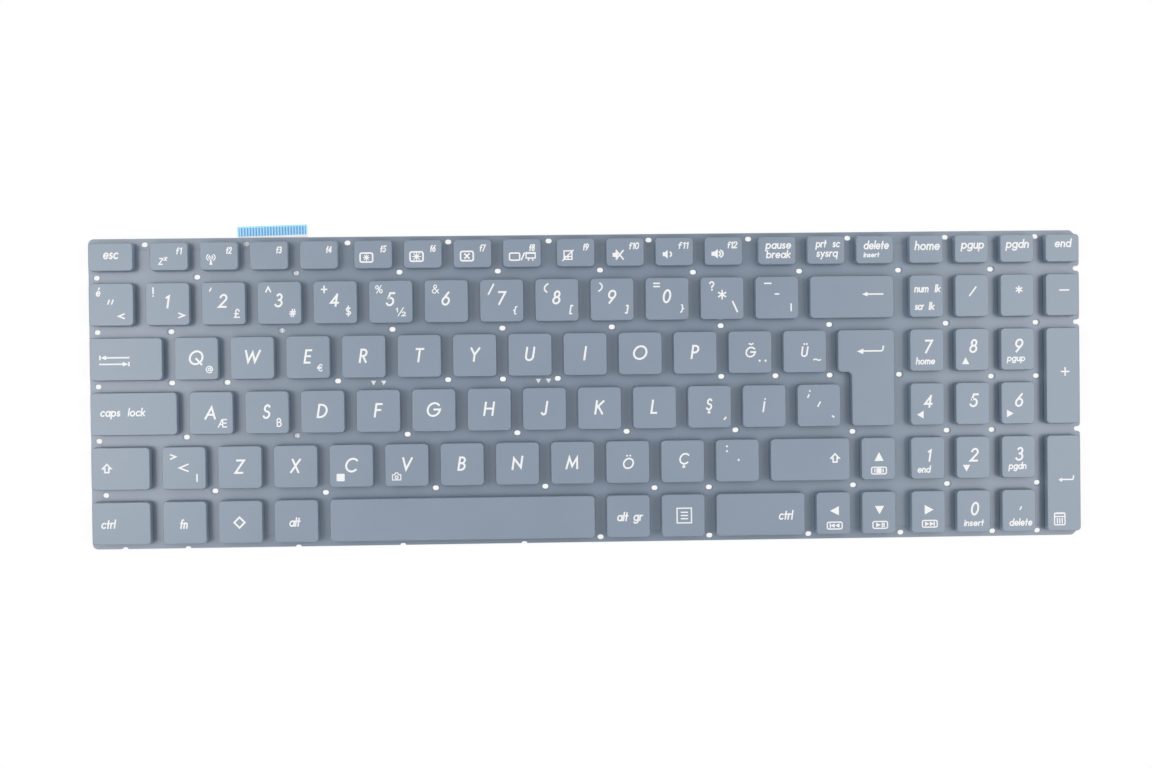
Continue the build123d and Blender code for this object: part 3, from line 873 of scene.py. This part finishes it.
# Function and number rows: caps of the same plastic and make as the others, low in the rear row. On the
# board they clip to scissors of their own, and here they stand fixed over them as one piece.
row_one = (49.6315, 39.7315)
row_two = (35.8815, 21.0115)
function_pitch, function_width, key_pitch, key_width = 17.0, 13.25, 19.0, 15.15
fixed_keys = {
    "escape": (-170.915, -155.515, row_one, [("esc", 7.95, 2.25, 5.75, 5.6)]),
    "grave": (-170.915, -155.515, row_two, [
        ("e", 3.5, 1.75, 4.7, 1.95), ("'", 3.75, 1.55, 2.45, 0.8), ('"', 7.6, 5.7, 7.45, 2.3),
        ("<", 11.2, 10.45, 12.45, 2.3)]),
    "backspace": (76.335, 105.685, row_two, [("back", 21.85, 5.8, 7.35, 7.5)]),
}
function_icons = {
    "f1": [("Z", 4.0, 5.45, 7.85), ("z", 5.65, 4.55, 6.4, 1.3)],
    "f2": [("aerial", 3.95, 4.05, 7.95, 3.8)],
    "f3": [],
    "f4": [],
    "f5": [("screen", 4.35, 4.2, 7.8, 4.8), ("sun", 4.35, 4.9, 7.1, 2.2)],
    "f6": [("screen", 4.5, 3.95, 7.7, 5.0), ("sun", 4.5, 4.3, 7.35, 3.05)],
    "f7": [("screen_off", 4.75, 3.95, 7.7, 4.9)],
    "f8": [("screen", 4.1, 4.7, 7.65, 4.0), ("/", 6.95, 4.75, 7.5, 1.5),
           ("projector", 9.6, 4.6, 7.65, 3.7)],
    "f9": [("pad_off", 3.95, 3.95, 7.85, 4.0)],
    "f10": [("mute", 4.25, 4.2, 7.6, 3.9)],
    "f11": [("quiet", 4.45, 4.2, 7.5, 3.7)],
    "f12": [("loud", 4.85, 4.1, 7.6, 4.8)],
    "pause": [("pause", 7.25, 1.45, 4.4, 9.2), ("break", 7.2, 4.75, 7.6, 8.8)],
    "print": [("prt", 5.05, 1.25, 4.05, 4.0), ("sc", 10.3, 1.25, 4.05, 2.9),
              ("sysrq", 7.1, 4.5, 7.35, 7.8)],
    "delete": [("delete", 7.25, 1.8, 4.85, 9.2), ("insert", 5.5, 5.75, 7.6, 5.7)],
}
group_starts = {"f1": -150.065, "f5": -80.565, "f9": -11.065, "pause": 58.435}
for key, icons in function_icons.items():
    cap_left = group_starts[key] if key in group_starts else cap_left + function_pitch
    label = []
    if key[1:].isdigit():
        label = [(key, 10.15, 1.9, 4.3, 2.3) if len(key) == 2 else (key, 9.75, 1.65, 4.05, 3.8)]
    fixed_keys[key] = (cap_left, cap_left + function_width, row_one, icons + label)
number_signs = {
    "1": [("!", 2.8, 1.7, 4.95), (">", 12.35, 10.4, 12.35, 2.3)],
    "2": [("'", 3.2, 2.05, 3.35, 0.85), ("£", 12.1, 9.35, 12.45)],
    "3": [("^", 3.85, 1.8, 3.85, 2.1), ("#", 12.05, 9.55, 12.35)],
    "4": [("+", 3.9, 1.7, 4.3, 2.2), ("$", 12.05, 8.75, 12.2)],
    "5": [("%", 3.6, 1.7, 4.6), ("½", 11.0, 9.4, 12.5, 3.5)],
    "6": [("&", 3.9, 1.7, 4.8)],
    "7": [("/", 3.95, 1.65, 5.45, 2.3), ("{", 12.1, 9.4, 12.35)],
    "8": [("(", 3.6, 1.65, 4.95), ("[", 12.45, 9.2, 12.45)],
    "9": [(")", 3.9, 1.6, 4.8), ("]", 12.6, 9.4, 12.4)],
    "0": [("=", 3.95, 1.85, 3.45, 2.3), ("}", 12.75, 9.4, 12.3)],
    "star": [("?", 4.1, 1.55, 4.85), ("*", 7.58, 4.55, 7.85), ("\\", 12.0, 8.4, 12.35)],
    "minus": [("-", 4.45, 2.25, 2.75, 2.6), ("-", 7.6, 5.95, 6.45, 1.6), ("|", 12.45, 9.45, 12.2)],
}
cap_left = -151.665
for key, signs in number_signs.items():
    digit = [(key, 7.5, 4.2, 8.95)] if key.isdigit() else []
    fixed_keys["digit_" + key] = (cap_left, cap_left + key_width, row_two, digit + signs)
    cap_left += key_pitch


def fixed_caps(keys, piece_name, node):
    """One piece of all caps of a fixed group. Returns the switch sets under them."""
    pieces, sets = [], []
    for key, (left, right, (rear, front), legend) in keys.items():
        pieces.append(key_cap(key, left, right, rear, front, legend))
        sets.append(switch_set(key, left, right, rear, front))
    settle(join(pieces, piece_name), "base", "cap_plastic", node)
    return sets


fixed_sets = fixed_caps(fixed_keys, "function_and_number_caps", "upper_row_keys")


# Keypad: four columns of narrower caps at the right end, moulded and printed like the others, with two
# tall ones in the last column. They stand fixed here, and all sets under fixed caps are one piece.
keypad_left, keypad_pitch, keypad_width, row_pitch, row_depth = 110.935, 15.87, 12.02, 18.72, 14.87
digit_middle, digit_top, digit_foot = 6.45, 3.85, 8.6
keypad_rows = (
    ([("home", 6.55, 2.05, 5.3, 9.2)], [("pgup", 6.5, 1.85, 5.0, 8.4)], [("pgdn", 6.3, 1.75, 4.9, 8.4)],
     [("end", 6.35, 1.7, 4.75, 6.2)]),
    ([("num", 4.35, 3.4, 6.2, 5.3), ("lk", 10.0, 3.4, 6.2, 2.35), ("scr", 3.55, 9.5, 12.3, 3.5),
      ("lk", 7.85, 9.5, 12.3, 2.35)], [("/", 6.3, 4.3, 7.7, 2.7)], [("*", 6.63, 4.2, 6.85)],
     [("-", 6.6, 5.58, 6.1, 3.5)]),
    ([("7", digit_middle, digit_top, digit_foot), ("home", 5.55, 9.9, 12.45, 7.0)],
     [("8", digit_middle, digit_top, digit_foot), ("up", 3.6, 10.1, 12.5, 2.55)],
     [("9", digit_middle, digit_top, digit_foot), ("pgup", 5.5, 9.3, 11.7, 6.6)]),
    ([("4", digit_middle, digit_top + 0.2, digit_foot + 0.1), ("left", 3.5, 9.75, 12.45, 2.25)],
     [("5", digit_middle, digit_top + 0.1, digit_foot + 0.1)],
     [("6", digit_middle, digit_top + 0.2, digit_foot + 0.2), ("right", 3.2, 9.75, 12.4, 2.35)]),
    ([("1", digit_middle, digit_top + 0.4, digit_foot + 0.1), ("end", 4.65, 10.0, 12.55, 4.9)],
     [("2", digit_middle, digit_top + 0.35, digit_foot + 0.3), ("down", 3.6, 10.0, 12.35, 2.55)],
     [("3", digit_middle, digit_top + 0.2, digit_foot + 0.2), ("pgdn", 5.7, 9.2, 11.75, 6.5)]),
    (None, [("0", digit_middle, digit_top + 0.35, digit_foot + 0.3), ("insert", 6.1, 10.2, 12.6, 7.2)],
     [("'", 6.6, 5.95, 7.25, 0.95), ("delete", 6.7, 10.1, 12.75, 8.4)]),
)
keypad_keys = {}
for row, columns in enumerate(keypad_rows):
    rear = row_two[0] - (row - 1) * row_pitch
    span = (rear, rear - row_depth) if row else row_one
    for column, legend in enumerate(columns):
        if legend:
            cap_left = keypad_left + column * keypad_pitch
            keypad_keys[f"pad_{row}_{column}"] = (cap_left, cap_left + keypad_width, span, legend)
last_column = keypad_left + 3 * keypad_pitch
tall = {"add": (2, [("+", 6.7, 13.95, 16.95, 3.0)]),
        "pad_enter": (4, [("bent", 6.8, 14.2, 16.3, 5.6), ("sums", 4.4, 27.0, 31.55, 4.1)])}
for key, (row, legend) in tall.items():
    rear = row_two[0] - (row - 1) * row_pitch
    span = (rear, rear - row_pitch - row_depth)
    keypad_keys[key] = (last_column, last_column + keypad_width, span, legend)
fixed_sets += fixed_caps(keypad_keys, "keypad_caps", "keypad_keys")
settle(join(fixed_sets, "fixed_switch_sets"), "base", "link_plastic", "upper_row_keys", "keypad_keys")
for pattern in (dome, *scissors.values(), *caps.values()):
    bpy.data.objects.remove(pattern)


# Guide marks: two pairs of small white arrowheads behind the two finger keys. They are printed on the
# film, in the same ink as the lettering.
mark_centres, mark_offset, mark_y, mark_height, mark_width = (-73.05, -16.05), 1.75, 0.55, 1.6, 1.8
mark_top, mark_foot = -mark_y - mark_height / 2, -mark_y + mark_height / 2
marks = [("down", centre + side * mark_offset, mark_top, mark_foot, mark_width)
         for centre in mark_centres for side in (-1, 1)]
guide_marks = print_legends("guide_marks", marks, film_top + 0.5 * ink_depth)
settle(guide_marks, "base", "film")


# Studio: a white floor that runs out of view, a wide soft lamp above the board, a smaller one over each
# end, whose sheen brightens the outer caps as on a copy stand, and faint light from all round.
floor_white, shade = new_finish("floor_white")
seen = shade.node("LightPath", output="Is Camera Ray")
mirrored = shade.node("LightPath", output="Is Glossy Ray")
through = shade.node("LightPath", output="Is Transmission Ray")
place = shade.node("TexCoord", output="Object")
distance = shade.node("VectorMath", {"operation": "LENGTH"}, {0: place}, output="Value")
clear = shade.node("MapRange", {"interpolation_type": "SMOOTHSTEP"}, {
    "Value": distance, "From Min": 0.2, "From Max": 0.8, "To Min": 0.78, "To Max": 1.0})
share = shade.math("MINIMUM", seen + mirrored + through, 1.0) * clear
paint = shade.node("BsdfDiffuse", None, {"Color": (0.9, 0.9, 0.9, 1)})
glow = shade.node("Emission", None, {"Color": (1, 1, 1, 1), "Strength": 1.06})
floor_look = shade.node("MixShader", None, {0: share, 1: paint, 2: glow})
shade.node("OutputMaterial", None, {"Surface": floor_look})
bpy.ops.mesh.primitive_plane_add(size=8, location=(0, 0, -0.0002))
floor = bpy.context.object
floor.name = "studio_floor"
floor.data.materials.append(floor_white)

world = bpy.data.worlds.new("studio")
bpy.context.scene.world = world
world.use_nodes = True
world.node_tree.nodes.clear()
shade = Shade(world.node_tree)
seen = shade.node("LightPath", output="Is Camera Ray")
strength = 0.38 + 0.62 * seen
sky = shade.node("Background", None, {"Color": (1, 1, 1, 1), "Strength": strength})
shade.node("OutputWorld", None, {"Surface": sky})

lamps = (  # name, place, tilt, size along and across the board, power, whether caps mirror it
    ("top_lamp", (0, 0, 0.75), 0, 0.3, 0.9, 1.25, False),
    ("left_lamp", (-0.36, 0, 0.5), -36, 0.26, 0.32, 0.95, True),
    ("right_lamp", (0.38, 0, 0.5), 37, 0.26, 0.45, 1.0, True),
)
for name, place, tilt, along, across, power, mirrored in lamps:
    bpy.ops.object.light_add(type="AREA", location=place, rotation=(0, math.radians(tilt), 0))
    lamp = bpy.context.object
    lamp.name = name
    lamp.data.shape, lamp.data.size, lamp.data.size_y = "RECTANGLE", along, across
    lamp.data.energy = power
    lamp.visible_camera, lamp.visible_glossy = False, mirrored

bpy.context.scene.view_settings.view_transform = "Standard"
bpy.ops.object.camera_add(
    location=(-0.01832, 0.004937, 0.491834), rotation=(-0.0109741, -0.0277287, -0.0119144))
camera = bpy.context.object
camera.data.sensor_width, camera.data.lens = 36.0, 44.184
bpy.context.scene.camera = camera
